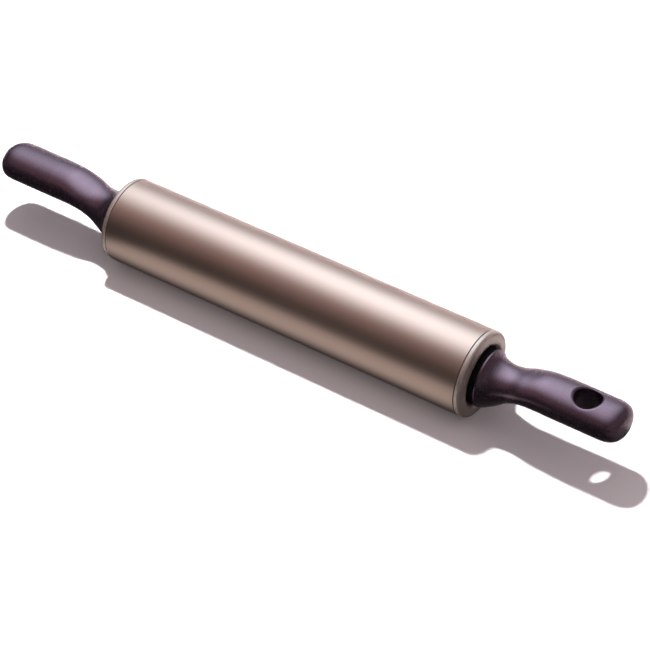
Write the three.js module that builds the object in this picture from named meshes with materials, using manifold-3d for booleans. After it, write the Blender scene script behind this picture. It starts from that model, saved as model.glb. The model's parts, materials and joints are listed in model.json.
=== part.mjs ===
// Rolling pin: a coated steel barrel that turns on two ball bearings about one axle, with a raised grip at each end.
// Millimetres. +X runs along the axle towards the grip with the hanging hole, +Z is up, and the origin is the barrel's centre.
import * as THREE from "three";
import { mergeVertices } from "three/addons/utils/BufferGeometryUtils.js";
import Module from "manifold-3d";

const wasm = await Module();
wasm.setup();

// Clearances between pieces that fit together
const slipGap = 0.3;
const seatGap = 0.15;
const runningGap = 0.8;

// Barrel
const barrelDiameter = 63.5;
const barrelLength = 304.8;
const tubeWall = 1.2;

// End rings: the flange shows, with a face that slopes out from the rim to the well, and the spigot sits inside the tube
const flangeThickness = 3.7;
const flangeEdgeRadius = 2.2;
const ringFaceWidth = 9.75;
const ringFaceSlope = Math.PI / 12;
const wellEdgeRadius = 0.8;
const spigotLength = 14;
const spigotWall = 3.75;

// Axle and ball bearings, of the common 8 x 22 x 7 size
const axleDiameter = 8;
const bearingDiameter = 22;
const ballDiameter = 3.97;
const ballCount = 7;
const raceGrooveGap = 0.2;
const raceShoulder = 1.45;
const cageThickness = 1.8;
const cageBase = 0.695;
const cageFingers = 1;
const pocketGap = 0.22;
const sealThickness = 0.35;
const sealInset = 0.1;

// Bearing carriers
const carrierWeb = 4;
const carrierRim = 2;
const carrierHub = 3.4;
const bearingDepth = 3;
const shoulderHeight = 1.8;

// Spring clips
const clipThickness = 1;
const clipGroove = 0.5;
const clipWidth = 2.2;
const clipOpening = Math.PI / 3;

// Collar between the barrel and the grip
const collarGap = 1.5;
const collarReach = 5.5;
const collarEdge = 0.6;
const sleeveWall = 1.9;

// Grips: crest and belly are heights over the axle, and distances run from the grip's base
const gripLength = 105.6;
const gripRounding = 15.6;
const gripRim = 0.7;
const gripBaseRadius = 21.7;
const gripShoulder = { at: 4.2, crest: 16.4, belly: -20.4, halfWidth: 19 };
const gripWaist = { at: 11.2, crest: 14.6, belly: -15.2, halfWidth: 16.1 };
const gripNeck = { at: 20.2, crest: 14.7, belly: -7.6, halfWidth: 15.3 };
const gripSwell = { at: 30.2, crest: 17.4, belly: -2.3, halfWidth: 16.2 };
const gripPalm = { at: 42.2, crest: 21.1, belly: -1.5, halfWidth: 16.6 };
const gripBar = { at: 56.2, crest: 21.8, belly: -1.2, halfWidth: 17.2 };
const gripSquareness = 2.4;
const tipRoundnessAcross = 2.64;
const tipRoundnessUp = 3.27;
const gripSkin = 2.5;

// Hanging hole
const holeDiameter = 19;
const holeFromTip = 31;
const holeWall = 2.2;

// Cross pins that lock the cores to the axle
const axleInGrip = 18.2;
const pinDiameter = 3;
const pinAt = 9.2;
const pinInset = 0.8;
const pinChamfer = 0.4;

// Facets around each kind of round piece
const barrelFacets = 48;
const carrierFacets = 28;
const collarFacets = 36;
const smallFacets = 20;
const pinFacets = 12;
const clipFacets = 10;
const gripFacets = 28;
const coreFacets = 16;
const ballFacets = 10;
const ballRings = 6;
const grooveSteps = 4;
const rimSteps = 3;
const lipSteps = 2;

// Rings between the grip's stations, and the shares of the rounded tip that have a ring
const outsideSteps = 2;
const insideSteps = 1;
const outsideTip = [0.35, 0.62, 0.82, 0.94, 0.99];
const insideTip = [0.5, 0.85];

// Places along +X that several pieces share
const endFace = barrelLength / 2;
const flangeBack = endFace - flangeThickness;
const barrelRadius = barrelDiameter / 2;
const wellRadius = barrelRadius - ringFaceWidth;
const tubeBore = barrelRadius - tubeWall;
const spigotRadius = tubeBore - slipGap;
const spigotBore = spigotRadius - spigotWall;
const axleRadius = axleDiameter / 2;
const raceRadius = bearingDiameter / 2;
const bearingSide = pocketGap + cageBase + seatGap + sealThickness + sealInset;
const bearingWidth = ballDiameter + 2 * bearingSide;
const carrierFace = flangeBack - slipGap;
const bearingOutside = carrierFace - bearingDepth;
const bearingInside = bearingOutside - bearingWidth;
const bearingMiddle = (bearingOutside + bearingInside) / 2;
const pitchRadius = (axleRadius + raceRadius) / 2;
const collarBack = carrierFace + runningGap;
const gripBase = endFace + collarReach + slipGap;
const axleEnd = gripBase + axleInGrip;
const holeMiddle = gripBase + gripLength - holeFromTip;

// Finishes
const champagneCoat = { color: "#b89c90", roughness: 0.34, metalness: 0.85 };
const champagnePaint = { color: "#b7a097", roughness: 0.45, metalness: 0.4 };
const aubergineRubber = { color: "#4b3c4f", roughness: 0.5, metalness: 0 };
const blackNylon = { color: "#161416", roughness: 0.6, metalness: 0 };
const blackRubber = { color: "#1d1c1e", roughness: 0.8, metalness: 0 };
const brightSteel = { color: "#c3c5c8", roughness: 0.25, metalness: 1 };
const springSteel = { color: "#4d4c4c", roughness: 0.4, metalness: 0.9 };

function piece(name, geometry, finish) {
  const mesh = new THREE.Mesh(geometry, new THREE.MeshStandardMaterial(finish));
  mesh.name = name;
  return mesh;
}

// A body turned about X from an outline of [x, radius] points, which ends on the axis or closes on itself.
function turned(outline, facets) {
  const points = outline.map(([x, radius]) => new THREE.Vector2(radius, x));
  if (outline[0][1] > 0) points.push(points[0].clone());
  if (THREE.ShapeUtils.area(points) < 0) points.reverse();
  const geometry = new THREE.LatheGeometry(points, facets, Math.PI / facets);
  return geometry.rotateZ(-Math.PI / 2);
}

// Points of an arc in [x, radius] form, from one angle to another.
function arc(x, radius, bend, from, to, steps) {
  return Array.from({ length: steps + 1 }, (_, step) => {
    const angle = from + ((to - from) * step) / steps;
    return [x + bend * Math.cos(angle), radius + bend * Math.sin(angle)];
  });
}

// A plain ring between two places and two radii.
function ring(from, to, inner, outer, facets) {
  return turned([[from, inner], [to, inner], [to, outer], [from, outer]], facets);
}

// A flat spring ring with an opening, standing square to X with its back at the given place.
function openRing(back, inner, outer) {
  const half = clipOpening / 2;
  const shape = new THREE.Shape();
  shape.absarc(0, 0, outer, half, 2 * Math.PI - half, false);
  shape.absarc(0, 0, inner, 2 * Math.PI - half, half, true);
  shape.closePath();
  const options = { depth: clipThickness, bevelEnabled: false, curveSegments: clipFacets };
  return new THREE.ExtrudeGeometry(shape, options).rotateY(Math.PI / 2).translate(back, 0, 0);
}

function solid(geometry) {
  const bare = geometry.clone();
  bare.deleteAttribute("normal");
  bare.deleteAttribute("uv");
  const merged = mergeVertices(bare);
  const vertProperties = new Float32Array(merged.attributes.position.array);
  const triVerts = new Uint32Array(merged.index.array);
  return new wasm.Manifold(new wasm.Mesh({ numProp: 3, vertProperties, triVerts }));
}

function geometryOf(body) {
  const mesh = body.getMesh();
  const geometry = new THREE.BufferGeometry();
  geometry.setAttribute("position", new THREE.BufferAttribute(mesh.vertProperties, 3));
  geometry.setIndex(new THREE.BufferAttribute(mesh.triVerts, 1));
  geometry.computeVertexNormals();
  return geometry;
}

// The first geometry with all the others cut away from it.
function cut(geometry, ...tools) {
  const body = tools.reduce((rest, tool) => rest.subtract(solid(tool)), solid(geometry));
  return geometryOf(body);
}

// The steel tube between the two end rings.
function barrelTube() {
  const half = flangeBack - slipGap;
  return ring(-half, half, tubeBore, barrelRadius, barrelFacets);
}

// A ring with a rounded rim, a sloping face, a rounded well and a spigot that slides into the tube.
// The face is the straight line that touches the arcs of the rim and of the well's lip.
function endRing() {
  const rim = flangeEdgeRadius;
  const lip = wellEdgeRadius;
  const slope = ringFaceSlope;
  const spigotEnd = flangeBack - spigotLength;
  const rimMiddle = endFace - rim;
  const faceRise = (ringFaceWidth - rim - lip) * Math.sin(slope) + rim - lip;
  const lipMiddle = rimMiddle + faceRise / Math.cos(slope);
  return turned(
    [
      [spigotEnd, spigotBore],
      [spigotEnd, spigotRadius],
      [flangeBack, spigotRadius],
      [flangeBack, barrelRadius],
      ...arc(rimMiddle, barrelRadius - rim, rim, Math.PI / 2, slope, rimSteps),
      ...arc(lipMiddle, wellRadius + lip, lip, slope, -Math.PI / 2, lipSteps),
      [flangeBack, wellRadius],
      [flangeBack, spigotBore],
    ],
    barrelFacets,
  );
}

// A dished plug with a pocket for the bearing, a shoulder behind it and a groove for the clip in front of it.
function bearingCarrier() {
  const rimRadius = spigotBore - slipGap;
  const pocket = raceRadius + seatGap;
  const hub = pocket + clipGroove + carrierHub;
  const groove = pocket + clipGroove;
  const pocketFloor = bearingInside - seatGap;
  const back = pocketFloor - carrierHub;
  const clipFrom = bearingOutside + seatGap;
  const clipTo = clipFrom + clipThickness + 2 * seatGap;
  return turned(
    [
      [carrierFace, pocket],
      [clipTo, pocket],
      [clipTo, groove],
      [clipFrom, groove],
      [clipFrom, pocket],
      [pocketFloor, pocket],
      [pocketFloor, pocket - shoulderHeight],
      [back, pocket - shoulderHeight],
      [back, hub],
      [carrierFace - carrierWeb, hub],
      [carrierFace - carrierWeb, rimRadius - carrierRim],
      [back, rimRadius - carrierRim],
      [back, rimRadius],
      [carrierFace, rimRadius],
    ],
    carrierFacets,
  );
}

// The half circle of a race's ball groove, ending on the race's shoulder on both sides.
function ballGroove(shoulder, side) {
  const bend = ballDiameter / 2 + raceGrooveGap;
  const spread = Math.acos(raceShoulder / bend);
  const middle = (side * Math.PI) / 2;
  const stretch = arc(bearingMiddle, pitchRadius, bend, middle + spread, middle - spread, grooveSteps);
  stretch[0][1] = shoulder;
  stretch[grooveSteps][1] = shoulder;
  return stretch.sort((a, b) => a[0] - b[0]);
}

function innerRace() {
  const shoulder = pitchRadius - raceShoulder;
  const bore = axleRadius + seatGap;
  const groove = ballGroove(shoulder, -1);
  const front = [[bearingInside, bore], [bearingInside, shoulder]];
  const back = [[bearingOutside, shoulder], [bearingOutside, bore]];
  return turned([...front, ...groove, ...back], smallFacets);
}

function outerRace() {
  const shoulder = pitchRadius + raceShoulder;
  const groove = ballGroove(shoulder, 1);
  const front = [[bearingInside, raceRadius], [bearingInside, shoulder]];
  const back = [[bearingOutside, shoulder], [bearingOutside, raceRadius]];
  return turned([...front, ...groove, ...back], smallFacets);
}

function ballPlace(index) {
  const angle = (2 * Math.PI * index) / ballCount;
  return new THREE.Vector3(bearingMiddle, pitchRadius * Math.sin(angle), pitchRadius * Math.cos(angle));
}

function ball() {
  return new THREE.SphereGeometry(ballDiameter / 2, ballFacets, ballRings);
}

// A crown cage: a ring whose open side has a round pocket for each ball.
function ballCage() {
  const pocket = ballDiameter / 2 + pocketGap;
  const inner = pitchRadius - cageThickness / 2;
  const outer = pitchRadius + cageThickness / 2;
  const band = ring(bearingMiddle - pocket - cageBase, bearingMiddle + cageFingers, inner, outer, smallFacets);
  const pockets = Array.from({ length: ballCount }, (_, index) => {
    const drill = new THREE.CylinderGeometry(pocket, pocket, 2 * cageThickness, pinFacets);
    const at = ballPlace(index);
    return drill.rotateX(Math.atan2(at.z, at.y)).translate(at.x, at.y, at.z);
  });
  return cut(band, ...pockets);
}

// A thin rubber ring just inside one face of the bearing, held by the outer race.
function bearingSeal(face, inwards) {
  const outside = face + inwards * sealInset;
  const inside = outside + inwards * sealThickness;
  const inner = pitchRadius - raceShoulder + seatGap;
  const outer = pitchRadius + raceShoulder - seatGap;
  return ring(Math.min(outside, inside), Math.max(outside, inside), inner, outer, smallFacets);
}

// The place of the clip's back, just inside the inner race.
function axleClipBack() {
  return bearingInside - seatGap - clipThickness;
}

function handlePinHole(radius) {
  const reach = 2 * barrelRadius;
  return new THREE.CylinderGeometry(radius, radius, reach, pinFacets).translate(gripBase + pinAt, 0, 0);
}

// The rod through the barrel, with a clip groove inside each bearing and a cross hole near each end.
function axle() {
  const grooveRadius = axleRadius - clipGroove;
  const grooveFrom = axleClipBack() - seatGap;
  const grooveTo = grooveFrom + clipThickness + 2 * seatGap;
  const halfOutline = [
    [grooveFrom, axleRadius],
    [grooveFrom, grooveRadius],
    [grooveTo, grooveRadius],
    [grooveTo, axleRadius],
    [axleEnd, axleRadius],
    [axleEnd, 0],
  ];
  const otherHalf = halfOutline.map(([x, radius]) => [-x, radius]).reverse();
  const rod = turned([...otherHalf, ...halfOutline], smallFacets);
  const hole = handlePinHole(pinDiameter / 2 + seatGap);
  return cut(rod, hole, hole.clone().rotateZ(Math.PI));
}

function spacerSleeve() {
  const bore = axleRadius + seatGap;
  return ring(bearingOutside + seatGap, collarBack - seatGap, bore, bore + sleeveWall, smallFacets);
}

function dustCollar() {
  const radius = wellRadius - collarGap;
  const front = gripBase - slipGap;
  const bore = axleRadius + seatGap;
  return turned(
    [
      [collarBack, bore],
      [collarBack, radius - collarEdge],
      [collarBack + collarEdge, radius],
      [front, radius],
      [front, bore],
    ],
    collarFacets,
  );
}

// Sections along the straight and swelling stretch of the grip: smooth curves through the named stations.
// A section is round at the base, where its squareness is 2, and a squarer oval from the swell on.
function gripSections(stepsBetween) {
  const base = { at: gripRim, crest: gripBaseRadius, belly: -gripBaseRadius, halfWidth: gripBaseRadius };
  const stations = [base, gripShoulder, gripWaist, gripNeck, gripSwell, gripPalm, gripBar];
  const curve = (key) => new THREE.SplineCurve(stations.map((each) => new THREE.Vector2(each.at, each[key])));
  const [crest, belly, halfWidth] = ["crest", "belly", "halfWidth"].map(curve);
  const steps = stepsBetween * (stations.length - 1);
  const squareness = (at) => 2 + (gripSquareness - 2) * THREE.MathUtils.smoothstep(at, gripShoulder.at, gripSwell.at);
  const section = (share) => ({
    at: crest.getPoint(share).x,
    crest: crest.getPoint(share).y,
    belly: belly.getPoint(share).y,
    halfWidth: halfWidth.getPoint(share).y,
    squareness: squareness(crest.getPoint(share).x),
  });
  const swept = Array.from({ length: steps + 1 }, (_, step) => section(step / steps));
  return [...swept, { ...swept[steps], at: gripLength - gripRounding }];
}

// The share of the full section that is left at a share of the way into the rounded tip.
function tipShare(way, roundness) {
  return (1 - way ** roundness) ** (1 / roundness);
}

// A circle's sine or cosine moved out to a superellipse, whose outline is |y|^n + |z|^n = 1 for a squareness n.
function squared(value, squareness) {
  return Math.sign(value) * Math.abs(value) ** (2 / squareness);
}

// The grip's form drawn in by an inset, from a starting place and edge: a turned blank whose rings become sections.
function gripForm(inset, start, edge, stepsBetween, tipSteps, facets) {
  const body = gripSections(stepsBetween).map((section) => ({
    x: gripBase + section.at,
    middle: (section.crest + section.belly) / 2,
    halfHeight: (section.crest - section.belly) / 2 - inset,
    halfWidth: section.halfWidth - inset,
    squareness: section.squareness,
  }));
  const mouth = { ...body[0], x: start };
  mouth.halfHeight -= edge;
  mouth.halfWidth -= edge;
  const bar = body[body.length - 1];
  const reach = gripRounding - inset;
  const tip = tipSteps.map((way) => ({
    ...bar,
    x: bar.x + way * reach,
    halfHeight: bar.halfHeight * tipShare(way, tipRoundnessUp),
    halfWidth: bar.halfWidth * tipShare(way, tipRoundnessAcross),
  }));
  const rings = [mouth, ...body, ...tip];
  const sections = [mouth, ...rings, { ...bar, x: bar.x + reach }];
  const outline = sections.map((each) => [each.x, 1]);
  outline[0][1] = 0;
  outline[outline.length - 1][1] = 0;
  const blank = turned(outline, facets);
  const position = blank.attributes.position;
  for (let index = 0; index < position.count; index += 1) {
    const section = sections[index % sections.length];
    const y = squared(position.getY(index), section.squareness) * section.halfWidth;
    const z = squared(position.getZ(index), section.squareness) * section.halfHeight;
    position.setXYZ(index, section.x, y, z + section.middle);
  }
  return blank;
}

function gripOutside() {
  return gripForm(0, gripBase, gripRim, outsideSteps, outsideTip, gripFacets);
}

// The space inside the grip's skin, with coarser rings than the outside.
function gripInside(inset, start) {
  return gripForm(inset, start, 0, insideSteps, insideTip, coreFacets);
}

function uprightRod(radius) {
  const rod = new THREE.CylinderGeometry(radius, radius, 2 * barrelDiameter, smallFacets);
  return rod.rotateX(Math.PI / 2).translate(holeMiddle, 0, 0);
}

// The rigid core: a blind bore for the axle, a cross hole for the pin and, in one grip, an eye for the hanging hole.
function handleCore(hasHole) {
  const mouth = gripBase - slipGap;
  const floor = axleEnd + slipGap;
  const radius = axleRadius + seatGap;
  const bore = turned([[mouth, 0], [mouth, radius], [floor, radius], [floor, 0]], smallFacets);
  const tools = [bore, handlePinHole(pinDiameter / 2 + seatGap)];
  if (hasHole) tools.push(uprightRod(holeDiameter / 2 + holeWall + slipGap));
  return cut(gripInside(gripSkin, gripBase), ...tools);
}

// The soft grip: a skin over the core that also lines the hanging hole.
function grip(hasHole) {
  const hollow = gripInside(gripSkin - slipGap, gripBase - slipGap);
  if (!hasHole) return cut(gripOutside(), hollow);
  const lined = cut(hollow, uprightRod(holeDiameter / 2 + holeWall));
  return cut(gripOutside(), lined, uprightRod(holeDiameter / 2));
}

// The half width of the core at the pin's place, so that the pin ends just inside it.
function coreHalfWidth() {
  const sections = gripSections(insideSteps);
  const after = sections.findIndex((section) => section.at > pinAt);
  const [a, b] = [sections[after - 1], sections[after]];
  return THREE.MathUtils.mapLinear(pinAt, a.at, b.at, a.halfWidth, b.halfWidth) - gripSkin;
}

function handlePin() {
  const half = coreHalfWidth() - pinInset;
  const radius = pinDiameter / 2;
  const outline = [
    [-half, 0],
    [-half, radius - pinChamfer],
    [pinChamfer - half, radius],
    [half - pinChamfer, radius],
    [half, radius - pinChamfer],
    [half, 0],
  ];
  return turned(outline, pinFacets).rotateZ(Math.PI / 2).translate(gripBase + pinAt, 0, 0);
}

// All the pieces of one end, built at +X.
function endOfPin(side, hasHole) {
  const end = new THREE.Group();
  const clipFront = bearingOutside + 2 * seatGap;
  const pocket = raceRadius + seatGap;
  end.add(piece(`end_ring_${side}`, endRing(), champagnePaint));
  end.add(piece(`bearing_carrier_${side}`, bearingCarrier(), blackNylon));
  end.add(piece(`outer_race_${side}`, outerRace(), brightSteel));
  end.add(piece(`inner_race_${side}`, innerRace(), brightSteel));
  end.add(piece(`ball_cage_${side}`, ballCage(), blackNylon));
  end.add(piece(`bearing_seal_inside_${side}`, bearingSeal(bearingInside, 1), blackRubber));
  end.add(piece(`bearing_seal_outside_${side}`, bearingSeal(bearingOutside, -1), blackRubber));
  for (let index = 0; index < ballCount; index += 1) {
    const each = piece(`ball_${index + 1}_${side}`, ball(), brightSteel);
    each.position.copy(ballPlace(index));
    end.add(each);
  }
  const bearingClip = openRing(clipFront, pocket + clipGroove - seatGap - clipWidth, pocket + clipGroove - seatGap);
  end.add(piece(`bearing_clip_${side}`, bearingClip, springSteel));
  const axleClipBore = axleRadius - clipGroove + seatGap;
  const axleClip = openRing(axleClipBack(), axleClipBore, axleClipBore + clipWidth);
  end.add(piece(`axle_clip_${side}`, axleClip, springSteel));
  end.add(piece(`spacer_sleeve_${side}`, spacerSleeve(), brightSteel));
  end.add(piece(`dust_collar_${side}`, dustCollar(), blackNylon));
  end.add(piece(`handle_core_${side}`, handleCore(hasHole), blackNylon));
  end.add(piece(`handle_pin_${side}`, handlePin(), springSteel));
  end.add(piece(`grip_${side}`, grip(hasHole), aubergineRubber));
  return end;
}

const rollingPin = new THREE.Group();
rollingPin.add(piece("barrel_tube", barrelTube(), champagneCoat));
rollingPin.add(piece("axle", axle(), brightSteel));
rollingPin.add(endOfPin("right", true));
const leftEnd = endOfPin("left", false);
leftEnd.rotation.z = Math.PI;
rollingPin.add(leftEnd);

export default rollingPin;
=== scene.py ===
"""Looks of a rolling pin: a champagne coated barrel that turns between two raised aubergine grips.

Everything is in metres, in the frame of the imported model: +X runs along the axle towards the grip with
the hanging hole, +Z is up, and the origin is the barrel's centre. The pieces of an end are worked out at
+X, and the other end's are the same turned half round about Z.
"""
import json
import math

import bpy
import numpy as np
from mathutils import Matrix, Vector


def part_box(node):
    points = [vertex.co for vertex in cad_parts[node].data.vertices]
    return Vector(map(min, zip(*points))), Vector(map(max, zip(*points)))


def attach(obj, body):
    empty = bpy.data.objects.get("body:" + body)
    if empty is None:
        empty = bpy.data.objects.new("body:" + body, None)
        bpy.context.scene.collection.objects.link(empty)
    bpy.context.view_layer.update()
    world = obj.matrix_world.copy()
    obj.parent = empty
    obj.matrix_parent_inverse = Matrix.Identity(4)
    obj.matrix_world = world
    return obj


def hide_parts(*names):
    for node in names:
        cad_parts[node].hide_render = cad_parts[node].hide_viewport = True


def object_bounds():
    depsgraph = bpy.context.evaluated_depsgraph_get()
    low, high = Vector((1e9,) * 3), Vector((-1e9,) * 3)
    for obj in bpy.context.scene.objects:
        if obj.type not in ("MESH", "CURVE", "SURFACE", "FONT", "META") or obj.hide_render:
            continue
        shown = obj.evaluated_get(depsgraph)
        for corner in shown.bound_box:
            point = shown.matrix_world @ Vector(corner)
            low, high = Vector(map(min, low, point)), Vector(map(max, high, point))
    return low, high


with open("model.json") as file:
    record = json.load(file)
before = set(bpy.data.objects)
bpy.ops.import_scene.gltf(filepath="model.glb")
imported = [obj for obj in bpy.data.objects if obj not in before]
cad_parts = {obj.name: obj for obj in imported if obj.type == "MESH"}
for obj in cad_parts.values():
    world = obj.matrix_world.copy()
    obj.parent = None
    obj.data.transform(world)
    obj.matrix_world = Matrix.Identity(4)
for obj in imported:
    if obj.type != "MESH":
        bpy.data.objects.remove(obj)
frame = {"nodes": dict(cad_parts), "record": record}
cad_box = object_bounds()

# Picture and camera, fitted to the barrel's outline
PICTURE_PIXELS = 650
FOCAL_PIXELS = 2300
SENSOR_WIDTH = 36.0
CAMERA_AZIMUTH = math.radians(34.17)
CAMERA_ELEVATION = math.radians(41.13)
CAMERA_DISTANCE = 1.6311
CAMERA_TARGET = np.array([0.0231, 0.0, -0.0182])

# Lamps for matt surfaces: a small one high behind throws the shadow, a wide and an even one fill it
KEY_PLACE = (-0.543, 0.462, 1.616)
KEY_RADIUS = 0.055
KEY_POWER = 150.0
FILL_PLACE = (1.2, 0.0, 1.8)
FILL_SIZE = 6.0
FILL_POWER = 72.0
EVEN_FILL_POWER = 0.3
FILL_COLOUR = (1.0, 0.88, 0.91)

# Panels that only reflections see: a softbox overhead, four walls round the pin and a card on the floor.
# A middle is (x, y), and any other pair says where a glow begins and where it is full.
PANEL_HEIGHT = 0.8
PANEL_REACH = 5.0
BLACK = (0, 0, 0, 1)
SOFTBOX_COLOUR = (3.25, 4.0, 4.45, 1)
SOFTBOX_MIDDLE = (-0.28, 0.38)
SOFTBOX_LEFT = 0.68
SOFTBOX_RIGHT = 0.5
SOFTBOX_DEEP = 0.7
SOFTBOX_FRONT = (-0.55, 0.35)
SOFTBOX_SKEW = 0.4
SOFTBOX_SIDE = (0.7, 0.0)
HALO_SHARE = 0.25
HALO_ACROSS = 0.9
HALO_DEEP = 2.0
SPILL_COLOUR = (0.84, 0.67, 0.65, 1)
SPILL_MIDDLE = (-0.55, -0.5)
SPILL_ACROSS = 0.7
SPILL_DEEP = 1.0
FAR_SIDE_COLOUR = (0.47, 0.44, 0.46, 1)
FAR_SIDE_FADE = (0.35, 0.9)
WALL_DISTANCE = 2.5
BACK_WALL_COLOUR = (1.15, 1.0, 1.05, 1)
LEFT_WALL_COLOUR = (0.3, 0.3, 0.3, 1)
RIGHT_WALL_COLOUR = (0.45, 0.45, 0.45, 1)
FRONT_WALL_COLOUR = (0.15, 0.15, 0.15, 1)
CARD_COLOUR = (1.25, 1.25, 1.25, 1)
CARD_DARK = 0.06
CARD_BACK = 0.04
CARD_NEAR = (-0.022, -0.051)
CARD_FAR = (-0.35, -0.09)
CARD_RIGHT = (0.162, 0.135)
CARD_LEFT = (-0.205, -0.175)
CARD_TIP = (0.27, 0.34)
CARD_TIP_GLOW = 0.32
CARD_SIDE = (-0.06, 0.02)
CARD_SIDE_GLOW = 0.13
CARD_LIFT = 0.0005

# Floor and the pale room beyond it
FLOOR_REACH = 5.0
FLOOR_GLOW = (0.85, 0.85, 0.85, 1)
FLOOR_GLOW_FADE = (0.6, 1.8)
ROOM_COLOUR = (0.9, 0.9, 0.9, 1)

# Contrast of the picture
PICTURE_GAMMA = 0.75

# Barrel tube
BARREL_RADIUS = 0.03175
TUBE_WALL = 0.0012
TUBE_EDGE = 0.00035

# End rings
FLANGE_EDGE = 0.0021
FACE_SLOPE = math.radians(21)
WELL_RADIUS = 0.0211
WELL_EDGE = 0.0044
RING_CORNER = 0.0003
SPIGOT_LENGTH = 0.014
SPIGOT_RADIUS = 0.03025
SPIGOT_BORE = 0.0265

# Dust collars
COLLAR_RADIUS = 0.0205
COLLAR_BORE = 0.00415
COLLAR_EDGE = 0.0006
COLLAR_CORNER = 0.0002
COLLAR_GAP = 0.0003

# Grips: the base's start, rim, band and radius, and then stations along the grip, each with its distance
# from the base, its crest and belly over the axle, and its half width
GRIP_START = -0.0012
GRIP_RIM = 0.0005
GRIP_BAND = 0.0012
GRIP_BASE_RADIUS = 0.0212
GRIP_SHOULDER = (0.0042, 0.0176, -0.0200, 0.0186)
GRIP_WAIST = (0.0112, 0.0153, -0.0152, 0.0165)
GRIP_NECK = (0.0202, 0.0154, -0.0076, 0.0153)
GRIP_SWELL = (0.0302, 0.0183, -0.0026, 0.0164)
GRIP_PALM = (0.0422, 0.0217, -0.0020, 0.0168)
GRIP_BAR = (0.0562, 0.0224, -0.0017, 0.0174)
TIP_LENGTH = 0.0156
ELLIPSE = 2.0
GRIP_SQUARENESS = 2.1
TIP_ROUNDNESS_ACROSS = 2.64
TIP_ROUNDNESS_UP = 3.27
GRIP_SKIN = 0.0022

# Hanging hole
HOLE_FROM_TIP = 0.031
HOLE_RADIUS = 0.0095
HOLE_MOUTH = 0.0025
LINING_WALL = 0.0022
LINING_MOUTH = 0.0005
HOLE_MARGIN = 0.0018

# Fineness of the surfaces
TURN_POINTS = 192
ARC_STEPS = 6
ARC_LEAD = 1.5
GRIP_COLUMNS = 144
STATION_STEPS = 10
BAR_STEPS = 24
TIP_STEPS = 28
RIM_STEPS = 6
PATCH_STEPS = 6
MOUTH_STEPS = 8
BORE_STEPS = 6
SHARP_ANGLE = math.radians(40)

# Socket numbers of a Mix node that is set to colours
MIX_SHARE = 0
MIX_FIRST = 6
MIX_SECOND = 7
MIX_RESULT = 2


# Shapes

def unit(vectors):
    """Vectors divided by their own length."""
    return vectors / np.linalg.norm(vectors, axis=-1, keepdims=True)


def rounded(corners):
    """A closed outline from corners (x, radius, bend): each corner becomes an arc of its bend that
    touches both sides, with one more point on each side so that the flat stretches are shaded flat."""
    corners = np.array(corners)
    place, bend = corners[:, :2], corners[:, 2:]
    before = unit(np.roll(place, 1, axis=0) - place)
    after = unit(np.roll(place, -1, axis=0) - place)
    half = np.arccos(np.sum(before * after, axis=1, keepdims=True)) / 2
    setback = bend / np.tan(half)
    centre = place + unit(before + after) * bend / np.sin(half)
    start = (place + before * setback - centre)[:, None]
    end = (place + after * setback - centre)[:, None]
    turn = (math.pi - 2 * half)[:, None]
    share = np.linspace(0, 1, ARC_STEPS + 1)[None, :, None]
    arcs = (np.sin((1 - share) * turn) * start + np.sin(share * turn) * end) / np.sin(turn)
    lead_in = place + before * setback * ARC_LEAD
    lead_out = place + after * setback * ARC_LEAD
    bends = np.concatenate([lead_in[:, None], centre[:, None] + arcs, lead_out[:, None]], axis=1)
    return bends.reshape(-1, 2)


def grid_quads(numbers):
    """The quads between neighbouring rows of a grid of point numbers whose rows close on themselves."""
    after = np.roll(numbers, -1, axis=1)
    return np.stack([numbers[:-1], after[:-1], after[1:], numbers[1:]], axis=-1)


def turned(outline):
    """A closed outline of (x, radius), clockwise, carried round X: y is the radius times the cosine of
    the turn, and z the radius times its sine."""
    angle = np.arange(TURN_POINTS) * 2 * math.pi / TURN_POINTS
    x, radius = outline[:, :1], outline[:, 1:]
    points = np.stack([x + 0 * angle, radius * np.cos(angle), radius * np.sin(angle)], axis=-1)
    numbers = np.arange(points.size // 3).reshape(points.shape[:2])
    quads = grid_quads(np.concatenate([numbers, numbers[:1]]))
    return points.reshape(-1, 3), quads.reshape(-1, 4).tolist()


def tube_surface():
    """The barrel's tube: a long thin rectangle with rounded corners, turned about the axle."""
    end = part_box("barrel_tube")[1].x
    bore = BARREL_RADIUS - TUBE_WALL
    return turned(rounded([
        (-end, BARREL_RADIUS, TUBE_EDGE),
        (end, BARREL_RADIUS, TUBE_EDGE),
        (end, bore, TUBE_EDGE),
        (-end, bore, TUBE_EDGE),
    ]))


def end_ring_surface():
    """The ring that closes the barrel: a flange whose face slopes out from a rounded rim to a rounded
    well, and a spigot inside the tube. The face lies on the line x cos(s) + radius sin(s) = reach that
    touches the well's lip."""
    low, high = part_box("end_ring_right")
    back = low.x + SPIGOT_LENGTH
    lean, rise = math.sin(FACE_SLOPE), math.cos(FACE_SLOPE)
    reach = (high.x - WELL_EDGE) * rise + (WELL_RADIUS + WELL_EDGE) * lean + WELL_EDGE
    rim_x, well_x = ((reach - radius * lean) / rise for radius in (BARREL_RADIUS, WELL_RADIUS))
    return turned(rounded([
        (low.x, SPIGOT_RADIUS, RING_CORNER),
        (back, SPIGOT_RADIUS, RING_CORNER),
        (back, BARREL_RADIUS, RING_CORNER),
        (rim_x, BARREL_RADIUS, FLANGE_EDGE),
        (well_x, WELL_RADIUS, WELL_EDGE),
        (back, WELL_RADIUS, RING_CORNER),
        (back, SPIGOT_BORE, RING_CORNER),
        (low.x, SPIGOT_BORE, RING_CORNER),
    ]))


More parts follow.
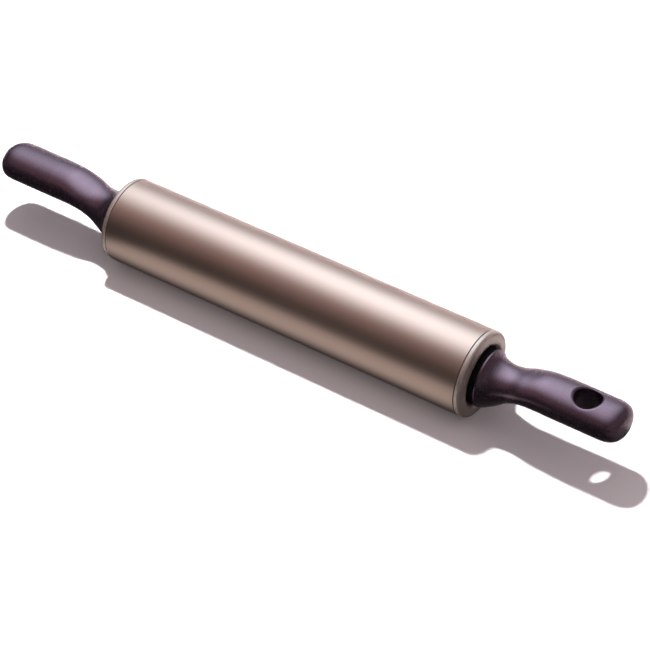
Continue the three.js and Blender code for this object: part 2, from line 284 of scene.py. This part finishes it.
def dust_collar_surface():
    """The collar between the ring's well and the grip: a thick washer with eased edges."""
    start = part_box("dust_collar_right")[0].x
    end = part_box("grip_right")[0].x + GRIP_START - COLLAR_GAP
    return turned(rounded([
        (start, COLLAR_RADIUS, COLLAR_EDGE),
        (end, COLLAR_RADIUS, COLLAR_CORNER),
        (end, COLLAR_BORE, COLLAR_CORNER),
        (start, COLLAR_BORE, COLLAR_CORNER),
    ]))


def curve_through(stations):
    """A smooth curve through stations: between two of them a cubic, whose slope at each is half the step
    between the stations before and after it."""
    padded = np.concatenate([stations[:1], stations, stations[-1:]])
    count = len(stations) - 1
    before, start, end, after = (padded[first:first + count, None] for first in range(4))
    slope_in, slope_out = (end - before) / 2, (after - start) / 2
    share = np.linspace(0, 1, STATION_STEPS, endpoint=False)[None, :, None]
    cubic = (2 * start - 2 * end + slope_in + slope_out) * share ** 3
    square = (3 * end - 3 * start - 2 * slope_in - slope_out) * share ** 2
    swept = cubic + square + slope_in * share + start
    return np.concatenate([swept.reshape(-1, stations.shape[1]), stations[-1:]])


def grip_sections(length, inset):
    """Rows of (distance from the base, middle height, half height, half width, squareness), drawn in by
    an inset: the curve through the stations, the straight bar, and a tip whose half sizes follow
    (1 - k^m)^(1/m)."""
    band_end = GRIP_START + GRIP_RIM + GRIP_BAND
    base = (band_end, GRIP_BASE_RADIUS, -GRIP_BASE_RADIUS, GRIP_BASE_RADIUS)
    stations = np.array([base, GRIP_SHOULDER, GRIP_WAIST, GRIP_NECK, GRIP_SWELL, GRIP_PALM, GRIP_BAR])
    bar = np.repeat(stations[-1:], BAR_STEPS, axis=0)
    bar[:, 0] = np.linspace(GRIP_BAR[0], length - TIP_LENGTH, BAR_STEPS + 1)[1:]
    at, crest, belly, half_width = np.concatenate([curve_through(stations), bar]).T
    way = np.clip((at - GRIP_SHOULDER[0]) / (GRIP_SWELL[0] - GRIP_SHOULDER[0]), 0, 1)
    squareness = ELLIPSE + (GRIP_SQUARENESS - ELLIPSE) * way * way * (3 - 2 * way)
    middle, half_height = (crest + belly) / 2, (crest - belly) / 2
    body = np.stack([at, middle, half_height - inset, half_width - inset, squareness], axis=1)
    roundness = (TIP_ROUNDNESS_ACROSS + TIP_ROUNDNESS_UP) / 2
    into = np.sin(np.linspace(0, math.pi / 2, TIP_STEPS + 1)[1:-1]) ** (2 / roundness)
    tip = np.repeat(body[-1:], len(into), axis=0)
    tip[:, 0] += into * (TIP_LENGTH - inset)
    tip[:, 2] *= (1 - into ** TIP_ROUNDNESS_UP) ** (1 / TIP_ROUNDNESS_UP)
    tip[:, 3] *= (1 - into ** TIP_ROUNDNESS_ACROSS) ** (1 / TIP_ROUNDNESS_ACROSS)
    return np.concatenate([body, tip])


def base_rim():
    """Rows of the grip's base rim: a quarter arc from its flat face to the start of its straight band."""
    angle = np.linspace(0, math.pi / 2, RIM_STEPS + 1)
    radius = GRIP_BASE_RADIUS - GRIP_RIM + GRIP_RIM * np.sin(angle)
    at = GRIP_START + GRIP_RIM * (1 - np.cos(angle))
    return np.stack([at, 0 * angle, radius, radius, ELLIPSE + 0 * angle], axis=1)


def section_points(sections, base):
    """Sections carried along X, each a superellipse |y / half width|^n + |z / half height|^n = 1 about
    its own middle, n being its squareness."""
    at, middle, half_height, half_width, squareness = (column[:, None] for column in sections.T)
    angle = np.arange(GRIP_COLUMNS) * 2 * math.pi / GRIP_COLUMNS
    cosine, sine = np.cos(angle), np.sin(angle)
    y = half_width * np.sign(cosine) * np.abs(cosine) ** (2 / squareness)
    z = middle + half_height * np.sign(sine) * np.abs(sine) ** (2 / squareness)
    return np.stack([base + at + 0 * y, y, z], axis=-1)


def block_edge(rows, columns):
    """The grid places round a block, counter-clockwise from outside: along its first row, up its last
    column, back along its last row and down its first column."""
    across, along = np.arange(*columns), np.arange(*rows)
    row = np.concatenate([0 * across + rows[0], along, 0 * across + rows[1], along[::-1] + 1])
    column = np.concatenate([across, 0 * along + columns[1], across[::-1] + 1, 0 * along + columns[0]])
    return row, column


def hole_rings(edge, hole_x, radius, mouth, section):
    """Rings that lead from the edge of a block on top, over the bar's surface to a round mouth, over its
    lip, down the bore and out below. The lip is a parabola between the bar's surface and the bore's
    wall."""
    middle, half_height, half_width = section

    def height(plan):
        """The bar's surface over its middle: half height times (1 - |y / half width|^n)^(1/n)."""
        rise = 1 - np.abs(plan[..., 1:] / half_width) ** GRIP_SQUARENESS
        return half_height * rise ** (1 / GRIP_SQUARENESS)

    plan = edge[:, :2]
    centre = np.array([hole_x, 0.0])
    outwards = unit(plan - centre)
    lip, wall = centre + outwards * (radius + mouth), centre + outwards * radius
    share = np.linspace(0, 1, PATCH_STEPS + 1)[1:, None, None]
    patch = plan + (lip - plan) * share
    bend = np.linspace(0, 1, MOUTH_STEPS + 1)[1:, None, None]
    left = (1 - bend) ** 2
    curl = left * lip + (1 - left) * wall
    curl_height = left * height(lip) + (1 - left) * height(wall) - bend ** 2 * mouth
    down = np.linspace(1, -1, BORE_STEPS + 1)[1:-1, None, None]
    flat = np.concatenate([patch, curl])
    rise = np.concatenate([height(patch), curl_height])
    plans = np.concatenate([flat, wall + 0 * down, flat[::-1]])
    heights = np.concatenate([rise, down * rise[-1], -rise[::-1]])
    return np.concatenate([plans, middle + heights], axis=-1)


def pierce(points, sections, rows, hole_x, radius, mouth):
    """A round hole through one skin of the grip, between blocks of the grid above and below it. Gives the
    mask of the quads that the blocks take out, the rings of points between them, and the blocks' edges in
    the grid."""
    reach = radius + mouth + HOLE_MARGIN
    near = rows[np.abs(points[rows, 0, 0] - hole_x) < reach]
    block = (near[0], near[-1])
    top, bottom = GRIP_COLUMNS // 4, 3 * GRIP_COLUMNS // 4
    span = np.count_nonzero(points[block[0], :top, 1] < reach)
    row, column = block_edge(block, (top - span, top + span))
    rings = hole_rings(points[row, column], hole_x, radius, mouth, sections[block[0], 1:4])
    taken = np.zeros((len(points) - 1, GRIP_COLUMNS), bool)
    taken[block[0]:block[1], top - span:top + span] = True
    taken[block[0]:block[1], bottom - span:bottom + span] = True
    return taken, rings, (row, column), (row, GRIP_COLUMNS - column)


def grip_surface(hole):
    """The soft grip as one closed skin: from the inner tip back along the inside, over the base and its
    rim, and along the outside to the tip. A hole is cut through the inside and the outside."""
    low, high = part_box("grip_right")
    inner = grip_sections(high.x - low.x, GRIP_SKIN)
    outer = grip_sections(high.x - low.x, 0)
    rim = base_rim()
    mouth = np.concatenate([rim[:1, :1], inner[:1, 1:]], axis=1)
    sections = np.concatenate([inner[::-1], mouth, rim, outer])
    points = section_points(sections, low.x)
    numbers = np.arange(points.size // 3).reshape(points.shape[:2])
    quads = grid_quads(numbers)
    kept = np.ones(quads.shape[:2], bool)
    clouds, faces = [points.reshape(-1, 3)], []
    count = numbers.size
    if hole:
        every_row = np.arange(len(sections))
        hole_x = high.x - HOLE_FROM_TIP
        skins = (
            (every_row[:len(inner)], HOLE_RADIUS + LINING_WALL, LINING_MOUTH),
            (every_row[-len(outer):], HOLE_RADIUS, HOLE_MOUTH),
        )
        for rows, radius, bend in skins:
            taken, rings, above, below = pierce(points, sections, rows, hole_x, radius, bend)
            added = count + np.arange(rings.size // 3).reshape(rings.shape[:2])
            joined = grid_quads(np.concatenate([numbers[above][None], added, numbers[below][None]]))
            kept &= ~taken
            clouds.append(rings.reshape(-1, 3))
            faces += joined.reshape(-1, 4).tolist()
            count += added.size
    middle = sections[-1, 1]
    clouds.append(np.array([[high.x - GRIP_SKIN, 0, middle], [high.x, 0, middle]]))
    first, last = numbers[0], numbers[-1]
    faces += quads[kept].tolist()
    faces += np.stack([0 * first + count, np.roll(first, -1), first], axis=1).tolist()
    faces += np.stack([last, np.roll(last, -1), 0 * last + count + 1], axis=1).tolist()
    return np.concatenate(clouds), faces


# Finishes

class Wire:
    """A socket in a node tree. Operators on wires and numbers add Math nodes, and node adds any kind."""

    def __init__(self, tree, socket=None):
        self.tree = tree
        self.socket = socket

    def node(self, kind, settings, sockets, output=0):
        """A node of a type: its settings first, then its sockets' values or wires."""
        made = self.tree.nodes.new(kind)
        for name, value in settings.items():
            setattr(made, name, value)
        for name, value in sockets.items():
            if isinstance(value, Wire):
                self.tree.links.new(value.socket, made.inputs[name])
            else:
                made.inputs[name].default_value = value
        return Wire(self.tree, made.outputs[output] if len(made.outputs) else None)

    def maths(self, operation, first, second):
        """A Math node on two wires or numbers."""
        return self.node("ShaderNodeMath", {"operation": operation}, {0: first, 1: second})

    def __add__(self, other):
        return self.maths("ADD", self, other)

    def __radd__(self, other):
        return self.maths("ADD", other, self)

    def __sub__(self, other):
        return self.maths("SUBTRACT", self, other)

    def __rsub__(self, other):
        return self.maths("SUBTRACT", other, self)

    def __mul__(self, other):
        return self.maths("MULTIPLY", self, other)

    def __rmul__(self, other):
        return self.maths("MULTIPLY", other, self)

    def __truediv__(self, other):
        return self.maths("DIVIDE", self, other)

    def __rtruediv__(self, other):
        return self.maths("DIVIDE", other, self)

    def place(self, finer=(1, 1, 1)):
        """A point's place on its piece, multiplied along the axes to make a pattern finer there."""
        point = self.node("ShaderNodeTexCoord", {}, {}, "Object")
        return self.node("ShaderNodeMapping", {}, {"Vector": point, "Scale": finer})

    def speckle(self, place, size, detail=2.0):
        """Soft noise from 0 to 1, whose patches are about a size across."""
        sockets = {"Vector": place, "Scale": 1 / size, "Detail": detail}
        return self.node("ShaderNodeTexNoise", {}, sockets)

    def flakes(self, place, size):
        """A number from 0 to 1 for each small cell of about a size, as metal flakes lie in a lacquer."""
        cell = self.node("ShaderNodeTexVoronoi", {}, {"Vector": place, "Scale": 1 / size}, "Color")
        return self.node("ShaderNodeSeparateXYZ", {}, {"Vector": cell}, "X")

    def tint(self, share, first, second):
        """A colour between two, by a share from 0 to 1."""
        sockets = {MIX_SHARE: share, MIX_FIRST: first, MIX_SECOND: second}
        return self.node("ShaderNodeMix", {"data_type": "RGBA"}, sockets, MIX_RESULT)

    def add(self, first, second):
        """The sum of two colours."""
        return self.node("ShaderNodeVectorMath", {"operation": "ADD"}, {0: first, 1: second})

    def relief(self, height, depth, strength=1.0):
        """A bumped normal from a height between 0 and 1 that is a depth tall."""
        sockets = {"Strength": strength, "Distance": depth, "Height": height}
        return self.node("ShaderNodeBump", {}, sockets)

    def fade(self, value, none, full):
        """A smooth step from 0 at one value to 1 at another."""
        sockets = {"Value": value, "From Min": none, "From Max": full}
        return self.node("ShaderNodeMapRange", {"interpolation_type": "SMOOTHSTEP"}, sockets)

    def shade(self, sockets):
        """The surface shader with these sockets, joined to the material's output."""
        shader = self.node("ShaderNodeBsdfPrincipled", {}, sockets)
        self.node("ShaderNodeOutputMaterial", {}, {"Surface": shader})


def new_finish(name):
    """A material with an empty tree, and a wire to build on."""
    material = bpy.data.materials.new(name)
    material.use_nodes = True
    material.node_tree.nodes.clear()
    return material, Wire(material.node_tree)


def champagne_coat():
    """The barrel's satin lacquer: fine metal flakes in champagne, with a slow drift in tone and a faint
    orange peel."""
    deep, pale = (0.36, 0.273, 0.237, 1), (0.40, 0.306, 0.269, 1)
    material, wire = new_finish("champagne_coat")
    place = wire.place()
    flake = wire.flakes(place, size=0.00025)
    drift = wire.speckle(place, size=0.05)
    peel = wire.speckle(place, size=0.0016)
    wire.shade({
        "Base Color": wire.tint(0.6 * drift + 0.4 * flake, deep, pale),
        "Metallic": 1.0,
        "Roughness": 0.36 + 0.04 * drift + 0.04 * flake,
        "Normal": wire.relief(peel, depth=0.00002, strength=0.3),
    })
    return material


def champagne_paint():
    """The end rings' paint: the barrel's tone on moulded plastic, a little duller, with a finer grain."""
    deep, pale = (0.39, 0.324, 0.296, 1), (0.432, 0.362, 0.329, 1)
    material, wire = new_finish("champagne_paint")
    place = wire.place()
    flake = wire.flakes(place, size=0.0003)
    drift = wire.speckle(place, size=0.02)
    grain = wire.speckle(place, size=0.0007, detail=4.0)
    wire.shade({
        "Base Color": wire.tint(0.5 * drift + 0.5 * flake, deep, pale),
        "Metallic": 0.68,
        "Roughness": 0.42 + 0.05 * drift + 0.05 * flake,
        "Normal": wire.relief(grain, depth=0.00002, strength=0.4),
    })
    return material


def aubergine_rubber():
    """Soft grip rubber: a fine moulded grain, slightly paler and duller where hands have worn it."""
    deep, worn = (0.0135, 0.0078, 0.016, 1), (0.0205, 0.0125, 0.0235, 1)
    material, wire = new_finish("aubergine_rubber")
    place = wire.place()
    grain = wire.speckle(place, size=0.0006, detail=3.0)
    mottle = wire.speckle(place, size=0.0028, detail=4.0)
    wear = wire.speckle(place, size=0.025, detail=3.0)
    wire.shade({
        "Base Color": wire.tint(0.5 * wear + 0.3 * mottle + 0.2 * grain, deep, worn),
        "Roughness": 0.18 + 0.05 * wear + 0.1 * mottle + 0.04 * grain,
        "IOR": 1.69,
        "Specular IOR Level": 1.0,
        "Specular Tint": (1.0, 0.705, 0.80, 1),
        "Normal": wire.relief(0.5 * grain + 0.5 * mottle, depth=0.00006, strength=0.5),
    })
    return material


def black_nylon():
    """Moulded black nylon: a matt grain with faint grey glass fibre."""
    black, grey = (0.005, 0.0045, 0.005, 1), (0.011, 0.010, 0.011, 1)
    material, wire = new_finish("black_nylon")
    grain = wire.speckle(wire.place(), size=0.0005, detail=4.0)
    fibre = wire.speckle(wire.place(finer=(1, 6, 6)), size=0.003)
    wire.shade({
        "Base Color": wire.tint(fibre, black, grey),
        "Roughness": 0.55 + 0.15 * grain,
        "Specular IOR Level": 0.15,
        "Normal": wire.relief(grain, depth=0.00004, strength=0.5),
    })
    return material


def bearing_steel():
    """Ground steel: fine lines round the axle in a bright, slightly uneven surface."""
    dull, bright = (0.52, 0.52, 0.53, 1), (0.62, 0.63, 0.64, 1)
    material, wire = new_finish("bearing_steel")
    lines = wire.speckle(wire.place(finer=(40, 1, 1)), size=0.006, detail=5.0)
    film = wire.speckle(wire.place(), size=0.004)
    wire.shade({
        "Base Color": wire.tint(film, dull, bright),
        "Metallic": 1.0,
        "Roughness": 0.16 + 0.12 * lines + 0.06 * film,
        "Normal": wire.relief(lines, depth=0.000004),
    })
    return material


def spring_steel():
    """Dark oiled spring steel: brown-black scale with brighter rubbed patches."""
    dark, rubbed = (0.045, 0.042, 0.040, 1), (0.11, 0.105, 0.10, 1)
    material, wire = new_finish("spring_steel")
    place = wire.place()
    scale = wire.speckle(place, size=0.0015, detail=5.0)
    oil = wire.speckle(place, size=0.006)
    wire.shade({
        "Base Color": wire.tint(scale, dark, rubbed),
        "Metallic": 0.9,
        "Roughness": 0.3 + 0.2 * oil,
        "Normal": wire.relief(scale, depth=0.00001),
    })
    return material


def seal_rubber():
    """Thin black rubber: matt, with a dusty bloom."""
    black, dusty = (0.009, 0.009, 0.010, 1), (0.018, 0.018, 0.019, 1)
    material, wire = new_finish("seal_rubber")
    bloom = wire.speckle(wire.place(), size=0.002, detail=4.0)
    wire.shade({
        "Base Color": wire.tint(bloom, black, dusty),
        "Roughness": 0.65 + 0.2 * bloom,
        "Normal": wire.relief(bloom, depth=0.00003, strength=0.5),
    })
    return material


def studio_paper():
    """The floor's white paper: its tooth makes it slightly uneven, and far out it glows by itself."""
    shaded, white = (0.90, 0.90, 0.90, 1), (0.92, 0.92, 0.92, 1)
    material, wire = new_finish("studio_paper")
    place = wire.place()
    tooth = wire.speckle(place, size=0.002)
    distance = wire.node("ShaderNodeVectorMath", {"operation": "LENGTH"}, {0: place}, "Value")
    wire.shade({
        "Base Color": wire.tint(tooth, shaded, white),
        "Roughness": 1.0,
        "Specular IOR Level": 0.0,
        "Emission Color": wire.tint(wire.fade(distance, *FLOOR_GLOW_FADE), BLACK, FLOOR_GLOW),
        "Emission Strength": 1.0,
    })
    return material


# Pieces

def piece(name, surface, finish, side=1):
    """An object from points and faces at +X, turned half round about Z for the other side."""
    points, faces = surface
    mesh = bpy.data.meshes.new(name)
    mesh.from_pydata((points * [side, side, 1]).tolist(), [], faces)
    mesh.shade_smooth()
    mesh.set_sharp_from_angle(angle=SHARP_ANGLE)
    mesh.materials.append(finish)
    made = bpy.data.objects.new(name, mesh)
    bpy.context.collection.objects.link(made)
    return made


def dress(made, body, node):
    """The piece moves with a body and stands for a node, which it hides."""
    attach(made, body)
    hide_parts(node)


# Studio

def place_floor():
    """A wide square of paper under the barrel."""
    under = cad_box[0].z
    corners = np.array([(-1, -1), (1, -1), (1, 1), (-1, 1)]) * FLOOR_REACH
    points = np.column_stack([corners, np.full(4, under)])
    piece("floor", (points, [(0, 1, 2, 3)]), studio_paper())


def place_lamp(name, kind, place, settings):
    """A lamp that lights matt surfaces only."""
    lamp = bpy.data.lights.new(name, kind)
    for setting, value in settings.items():
        setattr(lamp, setting, value)
    holder = bpy.data.objects.new(name, lamp)
    holder.location = place
    holder.visible_glossy = False
    bpy.context.collection.objects.link(holder)


def place_lamps():
    """The key lamp throws the shadow, and the other two lighten it."""
    place_lamp("key_lamp", "POINT", KEY_PLACE, {
        "energy": KEY_POWER,
        "shadow_soft_size": KEY_RADIUS,
    })
    place_lamp("fill_lamp", "AREA", FILL_PLACE, {
        "energy": FILL_POWER,
        "size": FILL_SIZE,
        "color": FILL_COLOUR,
    })
    place_lamp("even_lamp", "SUN", FILL_PLACE, {
        "energy": EVEN_FILL_POWER,
        "color": FILL_COLOUR,
        "use_shadow": False,
    })


def place_room():
    """The pale room beyond the floor, which only the camera sees."""
    world = bpy.data.worlds.new("studio_room")
    bpy.context.scene.world = world
    world.use_nodes = True
    world.node_tree.nodes.clear()
    world.cycles_visibility.diffuse = False
    world.cycles_visibility.glossy = False
    wire = Wire(world.node_tree)
    glow = wire.node("ShaderNodeBackground", {}, {"Color": ROOM_COLOUR})
    wire.node("ShaderNodeOutputWorld", {}, {"Surface": glow})


def mound(x, y, middle, across, deep):
    """A glow's strength: 1 at its middle, and 1 / (1 + (x / across)^2 + (y / deep)^2) away from it."""
    aside, along = (x - middle[0]) / across, (y - middle[1]) / deep
    return 1 / (1 + aside * aside + along * along)


def overhead_glow(wire, x, y):
    """A softbox that fades out towards the front, its warm spill over the front of the room, and a faint
    glow over the far right. The softbox is wider to its left, so that side is drawn in to the right's
    width."""
    aside = x - SOFTBOX_MIDDLE[0]
    beside = wire.maths("MAXIMUM", aside, aside * (-SOFTBOX_RIGHT / SOFTBOX_LEFT))
    behind = wire.maths("MAXIMUM", y, SOFTBOX_MIDDLE[1])
    front = wire.fade(y + SOFTBOX_SKEW * aside, *SOFTBOX_FRONT)
    middle = (0, SOFTBOX_MIDDLE[1])
    peak = mound(beside, behind, middle, SOFTBOX_RIGHT, SOFTBOX_DEEP)
    halo = mound(beside, behind, middle, HALO_ACROSS, HALO_DEEP)
    softbox = front * wire.fade(x, *SOFTBOX_SIDE) * ((1 - HALO_SHARE) * peak + HALO_SHARE * halo)
    spill = mound(x, y, SPILL_MIDDLE, SPILL_ACROSS, SPILL_DEEP)
    light = wire.tint(softbox, BLACK, SOFTBOX_COLOUR)
    light = wire.add(light, wire.tint(spill, BLACK, SPILL_COLOUR))
    return wire.add(light, wire.tint(wire.fade(x, *FAR_SIDE_FADE), BLACK, FAR_SIDE_COLOUR))


def even_glow(colour):
    """A glow of one colour all over a panel."""
    return lambda wire, x, y: colour


def card_glow(wire, x, y):
    """As bright as lit paper close in front of the barrel, dimmer past the right tip and under the grips,
    and dark elsewhere."""
    along = wire.fade(x, *CARD_LEFT) * wire.fade(x, *CARD_RIGHT)
    lit = wire.fade(y, *CARD_NEAR) * wire.fade(y, *CARD_FAR) * along
    past_tip = CARD_TIP_GLOW * wire.fade(x, *CARD_TIP)
    beside = CARD_SIDE_GLOW * wire.fade(y, *CARD_SIDE) * (1 - along)
    return wire.tint(CARD_DARK + (1 - CARD_DARK) * (lit + past_tip + beside), BLACK, CARD_COLOUR)


def place_panel(name, corners, glow):
    """A panel that only reflections see, shining with the colour that glow works out from x and y."""
    material, wire = new_finish(name)
    point = wire.node("ShaderNodeTexCoord", {}, {}, "Object")
    x, y = (wire.node("ShaderNodeSeparateXYZ", {}, {"Vector": point}, axis) for axis in "XY")
    shader = wire.node("ShaderNodeEmission", {}, {"Color": glow(wire, x, y)})
    wire.node("ShaderNodeOutputMaterial", {}, {"Surface": shader})
    panel = piece(name, (np.array(corners), [(0, 1, 2, 3)]), material)
    panel.visible_camera = False
    panel.visible_diffuse = False
    panel.visible_shadow = False


def place_panels():
    """The softbox faces down, four walls stand round the pin and the card lies just over the floor."""
    ground = cad_box[0].z
    square = np.array([(-1, -1), (-1, 1), (1, 1), (1, -1)])
    overhead = np.column_stack([square * PANEL_REACH, np.full(4, PANEL_HEIGHT)])
    place_panel("softbox", overhead, overhead_glow)
    card = np.column_stack([square[::-1] * FLOOR_REACH, np.full(4, ground + CARD_LIFT)])
    card[:, 1] = np.minimum(card[:, 1], CARD_BACK)
    place_panel("floor_card", card, card_glow)
    walls = {
        "left_wall": LEFT_WALL_COLOUR,
        "back_wall": BACK_WALL_COLOUR,
        "right_wall": RIGHT_WALL_COLOUR,
        "front_wall": FRONT_WALL_COLOUR,
    }
    corners = square * WALL_DISTANCE
    for (name, colour), start, end in zip(walls.items(), corners, np.roll(corners, -1, axis=0)):
        low = [(*start, ground), (*end, ground)]
        high = [(*end, PANEL_HEIGHT), (*start, PANEL_HEIGHT)]
        place_panel(name, low + high, even_glow(colour))


def place_camera():
    """A camera on a sphere round its target, level, with the fitted focal length."""
    level, rise = math.cos(CAMERA_ELEVATION), math.sin(CAMERA_ELEVATION)
    aside, ahead = math.sin(CAMERA_AZIMUTH), math.cos(CAMERA_AZIMUTH)
    back = np.array([aside * level, -ahead * level, rise])
    right = np.array([ahead, aside, 0.0])
    up = np.cross(back, right)
    lens = bpy.data.cameras.new("camera")
    lens.sensor_width = SENSOR_WIDTH
    lens.sensor_fit = "HORIZONTAL"
    lens.lens = SENSOR_WIDTH * FOCAL_PIXELS / PICTURE_PIXELS
    camera = bpy.data.objects.new("camera", lens)
    turn = Matrix(np.column_stack([right, up, back]).tolist()).to_4x4()
    camera.matrix_world = Matrix.Translation(CAMERA_TARGET + CAMERA_DISTANCE * back) @ turn
    bpy.context.collection.objects.link(camera)
    bpy.context.scene.camera = camera


# The set
place_camera()
place_floor()
place_panels()
place_lamps()
place_room()
bpy.context.scene.view_settings.view_transform = "Standard"
bpy.context.scene.view_settings.gamma = PICTURE_GAMMA

# The finishes on every node, and the pieces that replace the outer ones
finishes = {
    "barrel_coat": champagne_coat(),
    "ring_paint": champagne_paint(),
    "grip_rubber": aubergine_rubber(),
    "black_nylon": black_nylon(),
    "bearing_steel": bearing_steel(),
    "spring_steel": spring_steel(),
    "seal_rubber": seal_rubber(),
}
for subpart in frame["record"]["subparts"]:
    for material_slot in frame["nodes"][subpart["node"]].material_slots:
        material_slot.material = finishes[subpart["material_slot"]]

tube = piece("coated_tube", tube_surface(), finishes["barrel_coat"])
dress(tube, "barrel", "barrel_tube")
for name, side in (("right", 1), ("left", -1)):
    ring = piece(f"rounded_ring_{name}", end_ring_surface(), finishes["ring_paint"], side)
    dress(ring, "barrel", f"end_ring_{name}")
    collar = piece(f"eased_collar_{name}", dust_collar_surface(), finishes["black_nylon"], side)
    dress(collar, "handles", f"dust_collar_{name}")
    grip = piece(f"soft_grip_{name}", grip_surface(hole=name == "right"), finishes["grip_rubber"], side)
    dress(grip, "handles", f"grip_{name}")
